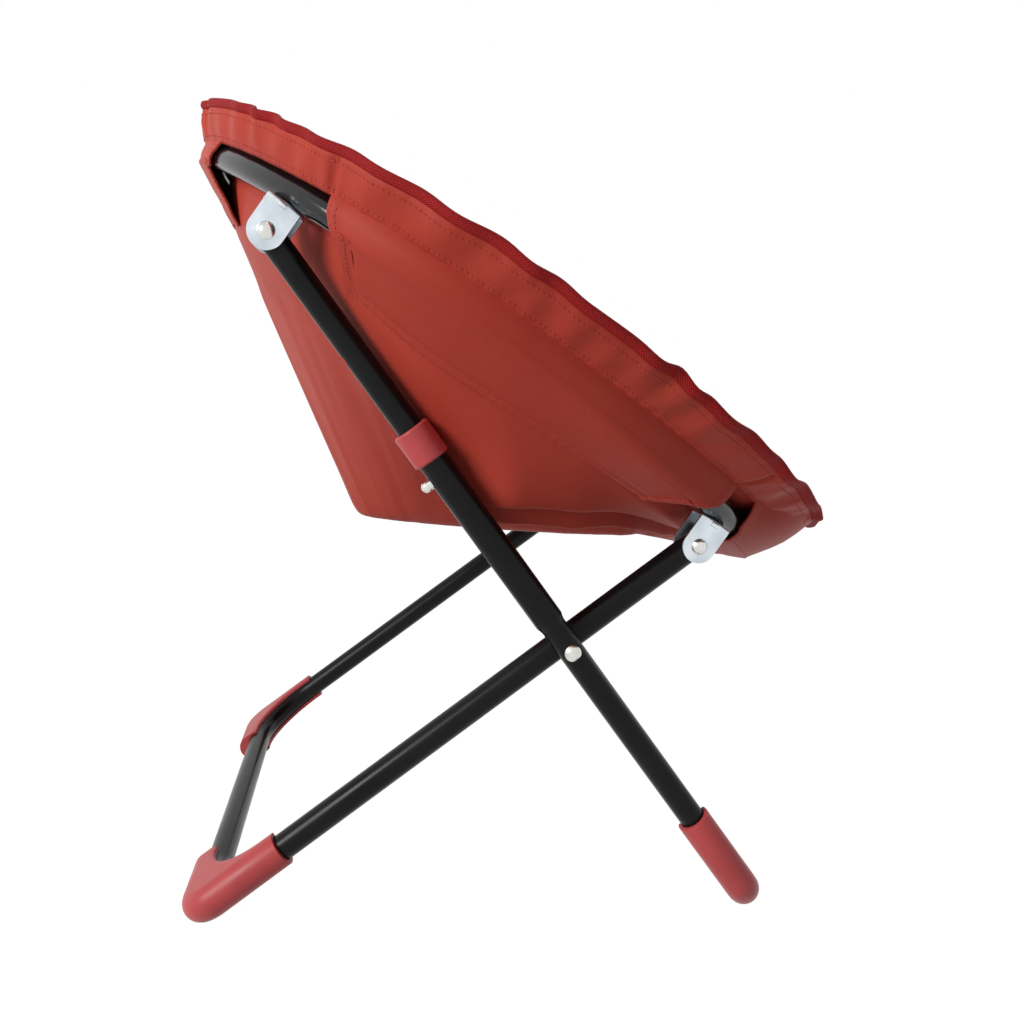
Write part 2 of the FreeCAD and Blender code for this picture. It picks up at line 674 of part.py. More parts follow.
def flange_edge(piece, angle, along, off, swing):
    """Point on the standing band: a distance up the band, off its middle surface, moved by a pucker."""
    front = (1 - math.cos(math.radians(angle))) / 2
    rise = math.radians(FLANGE_RISE_ANGLE)
    lean = math.radians(FLANGE_SEAT_ANGLE + (FLANGE_FRONT_SEAT_ANGLE - FLANGE_SEAT_ANGLE) * front)
    foot = hoop_radius + CLOTH_CLEARANCE + CLOTH + FLANGE_CLEARANCE + FLANGE_FRONT_LIFT * front
    reach = along * (1 + front * FLANGE_FRONT_EXTRA / (FLANGE_WIDTH + BINDING_WIDTH))
    square = off + swing * along / FLANGE_WIDTH
    outward = foot * math.sin(lean) + reach * math.cos(rise) - square * math.sin(rise)
    height = foot * math.cos(lean) + reach * math.sin(rise) + square * math.cos(rise)
    return around(piece, angle, outward, height)


def band(section):
    """Closed ring whose section is given as (distance up the band, off its middle) points."""
    samples = sampled(2 * PUCKER_COUNT)
    rings = []
    for along, off in section + section[:1]:
        rings.append(ring_edges([flange_edge(piece, angle, along, off, PUCKER_HEIGHT * swell(index, angle))
                                 for index, (piece, angle) in enumerate(samples)]))
    return closed_solid(skins(rings))


def rim_flange():
    half = FLANGE_THICKNESS / 2
    return band([(0, -half), (FLANGE_WIDTH, -half), (FLANGE_WIDTH, half), (0, half)])


def edge_binding():
    half = BINDING_THICKNESS / 2
    start = FLANGE_WIDTH
    end = start + BINDING_WIDTH
    return band([(start, -half), (end - half, -half), (end, 0), (end - half, half), (start, half)])


def opening(piece, distance):
    """Angle that a distance along one arc of the ring spans."""
    return math.degrees(distance / piece[4])


# Build the pieces
rear_corner = rear_leg(REAR_HALF_WIDTH, -REAR_LEG_LENGTH)
front_corner = front_leg(front_half_width, -front_leg_length)
rear_end = rear_leg(REAR_HALF_WIDTH, REAR_LEG_TOP + TUBE_END_PAST_PIVOT)
rear_plug = end_plug(rear_end, rear_up, rear_radius, rear_radius - REAR_TUBE_WALL)
upper_end = front_leg(front_half_width, FRONT_LEG_TOP + TUBE_END_PAST_PIVOT)
upper_plug = end_plug(upper_end, front_up, slide_radius, slide_bore)
hoop = hoop_solid(hoop_radius)

export("rear_frame_tube", rear_frame_tube())
export("rear_frame_end_plugs", *both_sides(rear_plug))
export("cross_rivet_inner", *both_sides(cross_rivet_inner()))
export("cross_spacers", *both_sides(cross_spacer()))
export("front_frame_tube", front_frame_tube())
export("cross_rivet_outer", *both_sides(cross_rivet_outer()))
export("upper_leg_end_plugs", *both_sides(upper_plug))
for name, left_piece in (("rear_cap", corner_cap(rear_up, rear_corner, rear_radius, REAR_BEND_RADIUS)),
                         ("front_cap", corner_cap(front_up, front_corner, slide_radius, FRONT_BEND_RADIUS)),
                         ("collar", collar()), ("lock_button", lock_button()), ("upper_leg", upper_leg()),
                         ("lock_spring", lock_spring())):
    export(name + "_left", left_piece)
    export(name + "_right", mirrored(left_piece))

export("hoop_tube", hoop_tube())
for name, place in BRACKETS.items():
    export("bracket_" + name, bracket(*place, hoop))
export("bracket_rivets", *[bracket_rivet(x, along) for x, along, _ in BRACKETS.values()])
export("rear_pivot_rivets", *[hinge_rivet(*BRACKETS[name]) for name in ("rear_left", "rear_right")])
export("front_pivot_rivets", *[hinge_rivet(*BRACKETS[name]) for name in ("front_left", "front_right")])

back_edge = REAR_BRACKET_ANGLE - opening(ARCS[0], REAR_OPENING_BACK)
front_edge = FRONT_BRACKET_ANGLE + opening(ARCS[3], FRONT_OPENING_FRONT)
left_spans = [(ARCS[1], REAR_BRACKET_ANGLE + opening(ARCS[1], REAR_OPENING_SIDE), 90),
              (ARCS[2], 90, FRONT_BRACKET_ANGLE - opening(ARCS[2], FRONT_OPENING_SIDE))]
pocket_left = pocket(left_spans)
export("pocket_back", pocket([(ARCS[0], -back_edge, back_edge)]))
export("pocket_front", pocket([(ARCS[3], front_edge, 360 - front_edge)]))
export("pocket_left", pocket_left)
export("pocket_right", mirrored(pocket_left))
export("seat_dish", seat_dish())
export("rim_flange", rim_flange())
export("edge_binding", edge_binding())
print("fold travel %.2f" % fold_travel)
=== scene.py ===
import json
import math

import bpy
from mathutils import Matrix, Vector, noise


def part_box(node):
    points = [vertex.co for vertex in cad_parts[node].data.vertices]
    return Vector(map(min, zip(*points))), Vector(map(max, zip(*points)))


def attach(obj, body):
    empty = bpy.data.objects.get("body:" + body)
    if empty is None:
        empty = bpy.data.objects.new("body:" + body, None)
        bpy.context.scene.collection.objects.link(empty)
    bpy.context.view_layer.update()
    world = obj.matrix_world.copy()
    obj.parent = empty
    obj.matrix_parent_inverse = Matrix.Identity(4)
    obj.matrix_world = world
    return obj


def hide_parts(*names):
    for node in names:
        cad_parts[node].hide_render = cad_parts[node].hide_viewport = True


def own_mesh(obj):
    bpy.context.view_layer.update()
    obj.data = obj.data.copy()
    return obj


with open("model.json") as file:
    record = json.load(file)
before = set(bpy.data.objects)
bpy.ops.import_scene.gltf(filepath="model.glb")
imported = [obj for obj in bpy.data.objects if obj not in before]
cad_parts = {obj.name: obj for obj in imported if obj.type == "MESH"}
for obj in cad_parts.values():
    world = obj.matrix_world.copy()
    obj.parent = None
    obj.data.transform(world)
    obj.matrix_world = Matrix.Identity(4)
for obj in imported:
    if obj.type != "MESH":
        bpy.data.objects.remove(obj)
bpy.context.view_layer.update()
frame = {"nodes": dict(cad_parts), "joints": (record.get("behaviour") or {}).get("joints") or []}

# Rear leg frame: one steel tube bent to a U, the two inner legs and the rear crossbar.
# It is dipped in gloss black enamel, which has a faint orange peel and dulls where hands and shoes rub it.
# It carries the seat at the front hinges and the front frame at the crossing rivets.
MM = 0.001
ENAMEL_BLACK = ((0.004, 0.004, 0.0045), (0.007, 0.007, 0.0075))
WELD_GAP = 0.01 * MM
SHARP_EDGE = math.radians(32)


def mottle_group():
    """Uneven patches and a fine grain, shared by the enamel, the mouldings and the plating."""
    group = bpy.data.node_groups.new("surface_mottle", "ShaderNodeTree")
    group.interface.new_socket("Patch Scale", in_out="INPUT", socket_type="NodeSocketFloat")
    group.interface.new_socket("Grain Scale", in_out="INPUT", socket_type="NodeSocketFloat")
    group.interface.new_socket("Patches", in_out="OUTPUT", socket_type="NodeSocketFloat")
    group.interface.new_socket("Grain", in_out="OUTPUT", socket_type="NodeSocketFloat")
    nodes, links = group.nodes, group.links
    start = nodes.new("NodeGroupInput")
    end = nodes.new("NodeGroupOutput")
    place = nodes.new("ShaderNodeTexCoord")
    for source, target, detail in (("Patch Scale", "Patches", 4.0), ("Grain Scale", "Grain", 1.5)):
        texture = nodes.new("ShaderNodeTexNoise")
        texture.inputs["Detail"].default_value = detail
        links.new(place.outputs["Object"], texture.inputs["Vector"])
        links.new(start.outputs[source], texture.inputs["Scale"])
        links.new(texture.outputs["Fac"], end.inputs[target])
    return group


surface_mottle = mottle_group()


def shader_of(name):
    """A new material with its tree and its Principled shader."""
    material = bpy.data.materials.new(name)
    material.use_nodes = True
    tree = material.node_tree
    return material, tree, tree.nodes["Principled BSDF"]


def ramp_between(tree, mask, low, high, first=0.35, last=0.65):
    """Colours or grey levels picked by a mask that changes over the surface."""
    ramp = tree.nodes.new("ShaderNodeValToRGB")
    ramp.color_ramp.elements[0].position = first
    ramp.color_ramp.elements[1].position = last
    ramp.color_ramp.elements[0].color = (*low, 1.0)
    ramp.color_ramp.elements[1].color = (*high, 1.0)
    tree.links.new(mask, ramp.inputs["Fac"])
    return ramp.outputs["Color"]


def bump_into(tree, shader, height, distance):
    """Let a height map tilt the surface, as relief of the given depth."""
    bump = tree.nodes.new("ShaderNodeBump")
    bump.inputs["Distance"].default_value = distance
    bump.inputs["Strength"].default_value = 1.0
    tree.links.new(height, bump.inputs["Height"])
    tree.links.new(bump.outputs["Normal"], shader.inputs["Normal"])


def mottled_finish(name, colours, roughness, patch_scale, grain_scale, grain_height, **sockets):
    """Rigid finish: colour and gloss drift over patches, and a fine grain lifts the surface."""
    material, tree, shader = shader_of(name)
    for socket, value in sockets.items():
        shader.inputs[socket.replace("_", " ")].default_value = value
    mottle = tree.nodes.new("ShaderNodeGroup")
    mottle.node_tree = surface_mottle
    mottle.inputs["Patch Scale"].default_value = patch_scale
    mottle.inputs["Grain Scale"].default_value = grain_scale
    patches = mottle.outputs["Patches"]
    tree.links.new(ramp_between(tree, patches, *colours), shader.inputs["Base Color"])
    levels = [(level, level, level) for level in roughness]
    tree.links.new(ramp_between(tree, patches, *levels), shader.inputs["Roughness"])
    bump_into(tree, shader, mottle.outputs["Grain"], grain_height)
    return material


def dress(material, *names):
    """Give carried-over pieces their finish."""
    for name in names:
        mesh = frame["nodes"][name].data
        mesh.materials.clear()
        mesh.materials.append(material)


def soften(width, *names):
    """Round the sharp edges of moulded or pressed pieces."""
    for name in names:
        piece = frame["nodes"][name]
        weld = piece.modifiers.new("weld", "WELD")
        weld.merge_threshold = WELD_GAP
        bevel = piece.modifiers.new("edges", "BEVEL")
        bevel.width = width
        bevel.segments = 3
        bevel.limit_method = "ANGLE"
        bevel.angle_limit = SHARP_EDGE
        bevel.use_clamp_overlap = True
        bevel.harden_normals = True


black_enamel = mottled_finish("black_enamel", ENAMEL_BLACK, (0.22, 0.32), patch_scale=22.0,
                              grain_scale=900.0, grain_height=0.012 * MM, Specular_IOR_Level=0.15)
dress(black_enamel, "rear_frame_tube")

# Rear corner caps: moulded red channels pressed over the frame's bends, filled out to blunt feet.
# The moulding has a fine spark-eroded grain, and its edges are rounded.
CAP_EDGE = 0.7 * MM
red_moulding = mottled_finish("red_moulding", ((0.50, 0.064, 0.066), (0.58, 0.080, 0.082)), (0.38, 0.48),
                              patch_scale=30.0, grain_scale=1400.0, grain_height=0.02 * MM,
                              Specular_IOR_Level=0.35)
dress(red_moulding, "rear_cap_left", "rear_cap_right")
soften(CAP_EDGE, "rear_cap_left", "rear_cap_right")

# Crossing pivot, inner half: a nickel-plated rivet through the rear leg, and a black nylon spacer.
# The spacer keeps the two leg frames apart; the plugs close the legs' upper ends.
nickel = mottled_finish("nickel", ((0.62, 0.61, 0.58), (0.74, 0.73, 0.70)), (0.14, 0.26),
                        patch_scale=120.0, grain_scale=1500.0, grain_height=0.01 * MM, Metallic=1.0)
black_nylon = mottled_finish("black_nylon", ((0.012, 0.012, 0.013), (0.022, 0.022, 0.023)), (0.42, 0.55),
                             patch_scale=60.0, grain_scale=1200.0, grain_height=0.03 * MM)
dress(nickel, "cross_rivet_inner")
dress(black_nylon, "cross_spacers", "rear_frame_end_plugs")

# Front leg frame: the outer U, its upper ends expanded to sleeves, with the same enamel, caps and rivets.
# A red collar is moulded over each sleeve's mouth, and a sprung nickel button stands out below it.
COLLAR_EDGE = 0.4 * MM
dress(black_enamel, "front_frame_tube")
dress(red_moulding, "front_cap_left", "front_cap_right", "collar_left", "collar_right")
soften(CAP_EDGE, "front_cap_left", "front_cap_right")
soften(COLLAR_EDGE, "collar_left", "collar_right")
dress(nickel, "cross_rivet_outer", "lock_button_left", "lock_button_right")

# Upper legs: thinner enamelled tubes that slide in the sleeves, each with a plug and a leaf spring inside.
# The springs are bare blued steel.
spring_steel = mottled_finish("spring_steel", ((0.20, 0.21, 0.23), (0.32, 0.33, 0.36)), (0.25, 0.4),
                              patch_scale=90.0, grain_scale=1500.0, grain_height=0.01 * MM, Metallic=1.0)
dress(black_enamel, "upper_leg_left", "upper_leg_right")
dress(black_nylon, "upper_leg_end_plugs")
dress(spring_steel, "lock_spring_left", "lock_spring_right")

# Ring and brackets: the enamelled ring that carries the cloth, and four zinc-plated clevis brackets under it.
# Bright passivated zinc is slightly blue and a little cloudy; the rivets are nickel.
BRACKET_EDGE = 0.35 * MM
zinc = mottled_finish("zinc", ((0.56, 0.61, 0.66), (0.72, 0.78, 0.83)), (0.28, 0.42), patch_scale=70.0,
                      grain_scale=1100.0, grain_height=0.015 * MM, Metallic=1.0)
brackets = ("bracket_rear_left", "bracket_rear_right", "bracket_front_left", "bracket_front_right")
bright_enamel = mottled_finish("bright_enamel", ENAMEL_BLACK, (0.10, 0.18), patch_scale=22.0,
                               grain_scale=900.0, grain_height=0.008 * MM, Specular_IOR_Level=0.45)
dress(bright_enamel, "hoop_tube")
dress(zinc, *brackets)
soften(BRACKET_EDGE, *brackets)
dress(nickel, "bracket_rivets", "rear_pivot_rivets", "front_pivot_rivets")

# Dish, upper wall: the cloth leaves the standing band's seam and turns down over the inside of the ring.
# It is a plain-woven polyester, red, smooth to the touch, with a low sheen.
# The ring's own arcs are worked out first, because all the cloth is placed by them.
joint_places = {joint["name"]: Vector(joint["pos_m"]) for joint in frame["joints"] if "pos_m" in joint}
rear_hinge = joint_places["upper_leg_pivot"]
front_hinge = joint_places["seat_fold"]
upper_leg_low, upper_leg_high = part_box("upper_leg_left")
front_bracket_low, front_bracket_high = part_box("bracket_front_left")
REAR_HALF = (upper_leg_low[0] + upper_leg_high[0]) / 2
FRONT_HALF = (front_bracket_low[0] + front_bracket_high[0]) / 2
HALF_SPAN = (rear_hinge - front_hinge).length / 2
HINGE_DROP = 25.4 * MM
REAR_REACH = 78 * MM
FRONT_REACH = 74 * MM
TUBE = 8 * MM
right = Vector((1, 0, 0))
forward = (front_hinge - rear_hinge).normalized()
out = forward.cross(right)
ring_centre = (rear_hinge + front_hinge) / 2 + out * HINGE_DROP


def ring_arcs():
    """The ring's arcs from the back, round the left. Each gives its first and last angle, its centre sideways
    and along the slope, and its radius.
    """
    back = (REAR_HALF ** 2 + REAR_REACH ** 2) / (2 * REAR_REACH)
    front = (FRONT_HALF ** 2 + FRONT_REACH ** 2) / (2 * FRONT_REACH)
    back_turn = math.asin(REAR_HALF / back)
    front_turn = math.asin(FRONT_HALF / front)
    lean = math.cos(front_turn) / (1 - math.sin(front_turn))
    step = REAR_HALF - FRONT_HALF
    rear_rise = 1 - math.sin(back_turn)
    rear_side = (2 * HALF_SPAN - step * lean) / (math.cos(back_turn) + rear_rise * lean)
    fore_side = (step + rear_side * rear_rise) / (1 - math.sin(front_turn))
    widest = REAR_HALF + rear_side * rear_rise
    level = rear_side * math.cos(back_turn) - HALF_SPAN
    last = math.pi - front_turn
    back_place = back - HALF_SPAN - REAR_REACH
    half = math.pi / 2
    return [(0, back_turn, 0, back_place, back), (back_turn, half, widest - rear_side, level, rear_side),
            (half, last, widest - fore_side, level, fore_side),
            (last, 2 * math.pi - last, 0, HALF_SPAN + FRONT_REACH - front, front),
            (2 * math.pi - last, 3 * half, fore_side - widest, level, fore_side),
            (3 * half, 2 * math.pi - back_turn, rear_side - widest, level, rear_side),
            (2 * math.pi - back_turn, 2 * math.pi, 0, back_place, back)]


ARCS = ring_arcs()
LENGTHS = [(arc[1] - arc[0]) * arc[4] for arc in ARCS]
RING = sum(LENGTHS)
REAR_SHARE = LENGTHS[0] / RING
FRONT_SHARE = sum(LENGTHS[:3]) / RING
WIDEST = ARCS[1][2] + ARCS[1][4]


def on_ring(share):
    """The arc, and the angle of its outward direction, at a share of the ring from the back middle."""
    run = (share % 1.0) * RING
    for arc, length in zip(ARCS, LENGTHS):
        if run <= length:
            return arc, arc[0] + run / arc[4]
        run -= length
    return ARCS[-1], ARCS[-1][1]


def beside(share, outward, height):
    """Point at a share of the ring, moved outwards from the tube's axis and off the ring's plane."""
    arc, angle = on_ring(share)
    reach = arc[4] + outward
    along = arc[3] - reach * math.cos(angle)
    return ring_centre + right * (arc[2] + reach * math.sin(angle)) + forward * along + out * height


def smooth_path(points, place):
    """Point on a smooth curve through the given points, place running from 0 to 1."""
    span = place * (len(points) - 1)
    k = min(int(span), len(points) - 2)
    t = span - k
    a, b, c, d = (points[max(0, min(len(points) - 1, k + shift))] for shift in (-1, 0, 1, 2))
    return [0.5 * (2 * q + (r - p) * t + (2 * p - 5 * q + 4 * r - s) * t * t
                   + (3 * q - p - 3 * r + s) * t ** 3)
            for p, q, r, s in zip(a, b, c, d)]


CLOTH = 1.2 * MM
CLOTH_WELD = 0.005 * MM
FOLD_EDGE = math.radians(55)


def cloth_grid(name, columns, rows, place, size, closed=True):
    """Sheet woven as a grid: place(u, v) gives each point, and the UV map is the cloth in metres."""
    bpy.ops.object.select_all(action="DESELECT")
    bpy.ops.mesh.primitive_grid_add(x_subdivisions=columns, y_subdivisions=rows, size=2)
    piece = bpy.context.object
    piece.name = name
    piece.data.name = name
    for loop in piece.data.uv_layers.active.data:
        loop.uv = (loop.uv[0] * size[0], loop.uv[1] * size[1])
    for vertex in piece.data.vertices:
        vertex.co = place((vertex.co.x + 1) / 2, (1 - vertex.co.y) / 2)
    if closed:
        bpy.ops.object.mode_set(mode="EDIT")
        bpy.ops.mesh.select_all(action="SELECT")
        bpy.ops.mesh.remove_doubles(threshold=CLOTH_WELD)
        bpy.ops.object.mode_set(mode="OBJECT")
    bpy.ops.object.shade_smooth()
    return piece


def thicken(piece):
    """Give a sheet the cloth's thickness, half to each side, and leave it as plain mesh."""
    bpy.ops.object.select_all(action="DESELECT")
    bpy.context.view_layer.objects.active = piece
    piece.select_set(True)
    wall = piece.modifiers.new("wall", "SOLIDIFY")
    wall.thickness = CLOTH
    wall.offset = 0.0
    bpy.ops.object.modifier_apply(modifier="wall")
    bpy.ops.object.shade_smooth_by_angle(angle=FOLD_EDGE)


WANDER_SCALE = 3
WANDER_TURN = 5
HEIGHT_SCALE = 5
HEIGHT_SEED = 9
HEIGHT_MEAN = 0.65
HEIGHT_SPREAD = 0.7


def ripple(share, pitch, seed):
    """Uneven gathers along the ring: a wave whose spacing and height wander."""
    turn = share * 2 * math.pi
    round_trip = Vector((math.cos(turn), math.sin(turn), 0))
    wander = noise.noise(round_trip * WANDER_SCALE + Vector((0, 0, seed)))
    uneven = noise.noise(round_trip * HEIGHT_SCALE + Vector((0, 0, seed + HEIGHT_SEED)))
    height = HEIGHT_MEAN + HEIGHT_SPREAD * uneven
    return height * math.sin(round(RING / pitch) * turn + WANDER_TURN * wander)


def weave_group():
    """Plain weave on the cloth's own map in metres: threads over and under, with a slow drift of shade."""
    group = bpy.data.node_groups.new("plain_weave", "ShaderNodeTree")
    group.interface.new_socket("Threads", in_out="INPUT", socket_type="NodeSocketFloat")
    group.interface.new_socket("Threads Height", in_out="OUTPUT", socket_type="NodeSocketFloat")
    group.interface.new_socket("Drift", in_out="OUTPUT", socket_type="NodeSocketFloat")
    nodes, links = group.nodes, group.links
    start = nodes.new("NodeGroupInput")
    end = nodes.new("NodeGroupOutput")
    place = nodes.new("ShaderNodeTexCoord")
    height = nodes.new("ShaderNodeMath")
    height.operation = "MAXIMUM"
    for socket, direction in enumerate(("X", "Y")):
        threads = nodes.new("ShaderNodeTexWave")
        threads.bands_direction = direction
        threads.inputs["Distortion"].default_value = 0.6
        links.new(place.outputs["UV"], threads.inputs["Vector"])
        links.new(start.outputs["Threads"], threads.inputs["Scale"])
        links.new(threads.outputs["Fac"], height.inputs[socket])
    drift = nodes.new("ShaderNodeTexNoise")
    drift.inputs["Scale"].default_value = 9.0
    drift.inputs["Detail"].default_value = 5.0
    links.new(place.outputs["Object"], drift.inputs["Vector"])
    links.new(height.outputs["Value"], end.inputs["Threads Height"])
    links.new(drift.outputs["Fac"], end.inputs["Drift"])
    return group


plain_weave = weave_group()


def cloth_finish(name, colours, roughness, threads, thread_height, sheen):
    """Woven finish: the colour drifts a little, and the threads lift the surface."""
    material, tree, shader = shader_of(name)
    shader.inputs["Roughness"].default_value = roughness
    shader.inputs["Sheen Weight"].default_value = sheen
    shader.inputs["Sheen Roughness"].default_value = 0.45
    shader.inputs["Sheen Tint"].default_value = (1.0, 0.55, 0.5, 1.0)
    shader.inputs["Specular IOR Level"].default_value = 0.13
    weave = tree.nodes.new("ShaderNodeGroup")
    weave.node_tree = plain_weave
    weave.inputs["Threads"].default_value = threads
    tree.links.new(ramp_between(tree, weave.outputs["Drift"], *colours), shader.inputs["Base Color"])
    bump_into(tree, shader, weave.outputs["Threads Height"], thread_height)
    return material


red_cloth = cloth_finish("red_cloth", ((0.43, 0.046, 0.029), (0.50, 0.060, 0.038)), roughness=0.50,
                         threads=420.0, thread_height=0.04 * MM, sheen=0.03)
SQUASH_PLANE = -TUBE
COLUMNS = 288
WALL_ROWS = 16
WALL_MAP = (RING, 0.03)
WALL_TURN = 9.2 * MM
WALL_TURN_STEPS = 4
WALL_LEAVES = math.radians(168)
WALL_MIDDLE = (-13 * MM, -3 * MM)
WALL_INWARD = 16 * MM
BAND_SEAT = (math.radians(62), math.radians(18))
BAND_CLEAR = 10.3 * MM
BAND_FRONT_LIFT = 9.7 * MM


def frontness(share):
    """0 at the back middle of the ring, 1 at its front middle."""
    return (1 - math.cos(on_ring(share)[1])) / 2


def band_foot(share):
    """The standing band's seam: its distance from the tube's axis, and its angle up from outwards."""
    front = frontness(share)
    lean = BAND_SEAT[0] + (BAND_SEAT[1] - BAND_SEAT[0]) * front
    return BAND_CLEAR + BAND_FRONT_LIFT * front, math.pi / 2 - lean


def round_tube(radius, first, last, steps):
    """(outward, height) of points on a circle round the tube."""
    turns = [first + (last - first) * k / (steps - 1) for k in range(steps)]
    return [(radius * math.cos(turn), radius * math.sin(turn)) for turn in turns]


def wall_profile(share):
    """(outward, height) line of the upper wall: from the band's foot over the tube and down its inside."""
    clear, seat = band_foot(share)
    points = [(clear * math.cos(seat), clear * math.sin(seat))]
    points += round_tube(WALL_TURN, seat + math.acos(WALL_TURN / clear), WALL_LEAVES, WALL_TURN_STEPS)
    return points + [WALL_MIDDLE, (-WALL_INWARD, SQUASH_PLANE)]


wall_profiles = {}


def upper_wall(u, v):
    """Place on the upper wall: round the ring and down its profile."""
    column = round(u * COLUMNS)
    if column not in wall_profiles:
        wall_profiles[column] = wall_profile(u)
    return beside(u, *smooth_path(wall_profiles[column], v))


dish_wall = cloth_grid("dish_wall", COLUMNS, WALL_ROWS, upper_wall, WALL_MAP)
dish_wall.data.materials.append(red_cloth)
thicken(dish_wall)
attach(dish_wall, "seat")

# Dish, hanging part: from the ring's underside it runs straight down the back, bags out in slack lobes at
# the sides, and draws together into a low keel beneath. It is the same cloth, sewn to the upper wall, and
# leans in where the upper legs pass it.
DISH_ROWS = 130
DISH_MAP = (RING, 0.3)
SEAM_PLAY = (0.8 * MM, 0.4 * MM)
HEEL_FORWARD = 40 * MM
HEEL_DROP = 174 * MM
HEEL = Vector((0, rear_hinge.y - HEEL_FORWARD, rear_hinge.z - HEEL_DROP))
FLOOR_LENGTH = 207 * MM
FLOOR_FALL = 17 * MM
FLOOR_HALF = 36 * MM
KEEL_SHARE = 0.8
KEEL_STEPS = (0.1, 0.5, 1.0, 1.0, 1.0)
LOBE_UNEVEN = 0.08
LOBE_PITCH = 95 * MM
LOBE_SEED = 3
CRUMPLE = 2.2 * MM
CRUMPLE_CENTRE = Vector((0, HEEL.y - FLOOR_LENGTH / 2, HEEL.z + 120 * MM))
LEG_INSIDE = 12.7 * MM
LEG_SHADE = 12 * MM
LEG_SPREAD = 0.9
LEG_SOFT = 5 * MM
LEAN_FROM = (0.09, 0.18)
cross_low, cross_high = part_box("cross_rivet_outer")
leg_pivot = (Vector(cross_low) + Vector(cross_high)) / 2
# Height of a crease, how close creases lie round the dish and down it, and where its pattern starts
creases = ((1.0, 5.5, 2.2, 0), (0.5, 13, 3.5, 8))
# Sizes at even steps round the ring, from the back to the front
seam_inwards = [(inward * MM,) for inward in (30.6, 30.1, 28.6, 26.6, 18, 14, 22)]
seam_drops = [(drop * MM,) for drop in (27, 27, 27, 32, 23, 19, 20)]
lobe_drops = [(drop * MM,) for drop in (0, 0, 0, 0, 16, 32, 38, 26, 6, -2, -5, -2, 0)]
hollow_lifts = [(lift * MM,) for lift in (0, 0, 0, 0, 3, 8, 13, 18, 24, 26, 22, 9, 0)]
pleat_drops = [(drop * MM,) for drop in (0, 0, 0, 0, 0, 2, 5, 7, 5, 3, 1, 0, 0)]
# Share of the way from the seam to the keel, and the shares there of the lobe, the hollow and the pleat
hang_steps = ((0.05, 0.45, 0, 0), (0.10, 1.0, 0, 0), (0.14, 1.35, 0, 0), (0.16, 1.25, 0, -0.5),
              (0.18, 1.1, 0, -0.8), (0.195, 1.1, 0, 0.9), (0.21, 1.1, 0, 1.7), (0.225, 1.0, 0.1, 1.6),
              (0.24, 0.6, 0.35, 0.4), (0.28, 0.3, 0.6, 0), (0.38, 0.1, 0.8, 0), (0.52, 0, 1.0, 0),
              (0.66, 0, 1.1, 0), (0.80, 0, 1.0, 0), (0.90, 0, 0.45, 0), (0.97, 0, 0, 0))


def by_angle(levels, share):
    """A size that changes round the ring, from its levels at even steps, alike on both sides."""
    angle = on_ring(share)[1]
    return smooth_path(levels, min(angle, 2 * math.pi - angle) / math.pi)[0]


def seam_at(share):
    """(outward, height) of the double seam under the ring."""
    return -by_angle(seam_inwards, share), -by_angle(seam_drops, share)


def keel(share):
    """Point of the keel that a line of the cloth hangs down to."""
    edge = beside(share, 0, 0)
    along = (edge - ring_centre).dot(forward) + HALF_SPAN + REAR_REACH
    part = along / (2 * HALF_SPAN + REAR_REACH + FRONT_REACH)
    return Vector((FLOOR_HALF * edge.x / WIDEST, HEEL.y - part * FLOOR_LENGTH, HEEL.z - part * FLOOR_FALL))


def hanging_line(share):
    """Points that one line of the cloth hangs by, from the ring's underside to the middle of the keel."""
    inward, drop = seam_at(share)
    seam = beside(share, inward - SEAM_PLAY[0], drop + SEAM_PLAY[1])
    low = keel(share)
    bag = by_angle(lobe_drops, share) * (1 + LOBE_UNEVEN * ripple(share, LOBE_PITCH, LOBE_SEED))
    points = [beside(share, -WALL_INWARD, SQUASH_PLANE)] * 3
    points.append(seam)
    hollow = by_angle(hollow_lifts, share)
    fold = by_angle(pleat_drops, share)
    for part, sag, lift, pleat in hang_steps:
        points.append(seam.lerp(low, part) + Vector((0, 0, lift * hollow - sag * bag - pleat * fold)))
    middle = HEEL.y - FLOOR_LENGTH / 2
    for part in KEEL_STEPS:
        drawn = 1 - part * (1 - KEEL_SHARE)
        points.append(Vector((low.x * (1 - part), middle + (low.y - middle) * drawn, low.z)))
    return points


def inside_legs(point, v):
    """Cloth kept within the two upper legs: below its seam it leans in where a leg passes it."""
    lean = max(0, min(1, (v - LEAN_FROM[0]) / (LEAN_FROM[1] - LEAN_FROM[0])))
    leg = Vector((0, leg_pivot.y - rear_hinge.y, leg_pivot.z - rear_hinge.z)).normalized()
    off = Vector((0, point.y - rear_hinge.y, point.z - rear_hinge.z)).cross(leg).length
    limit = REAR_HALF - LEG_INSIDE + LEG_SPREAD * (math.hypot(off, LEG_SHADE) - LEG_SHADE)
    reach = abs(point.x)
    blend = max(LEG_SOFT - abs(reach - limit), 0) / LEG_SOFT
    within = min(reach, limit) - blend * blend * LEG_SOFT / 4
    reach += (within - reach) * lean * lean * (3 - 2 * lean)
    return Vector((math.copysign(reach, point.x), point.y, point.z))


hanging_lines = {}


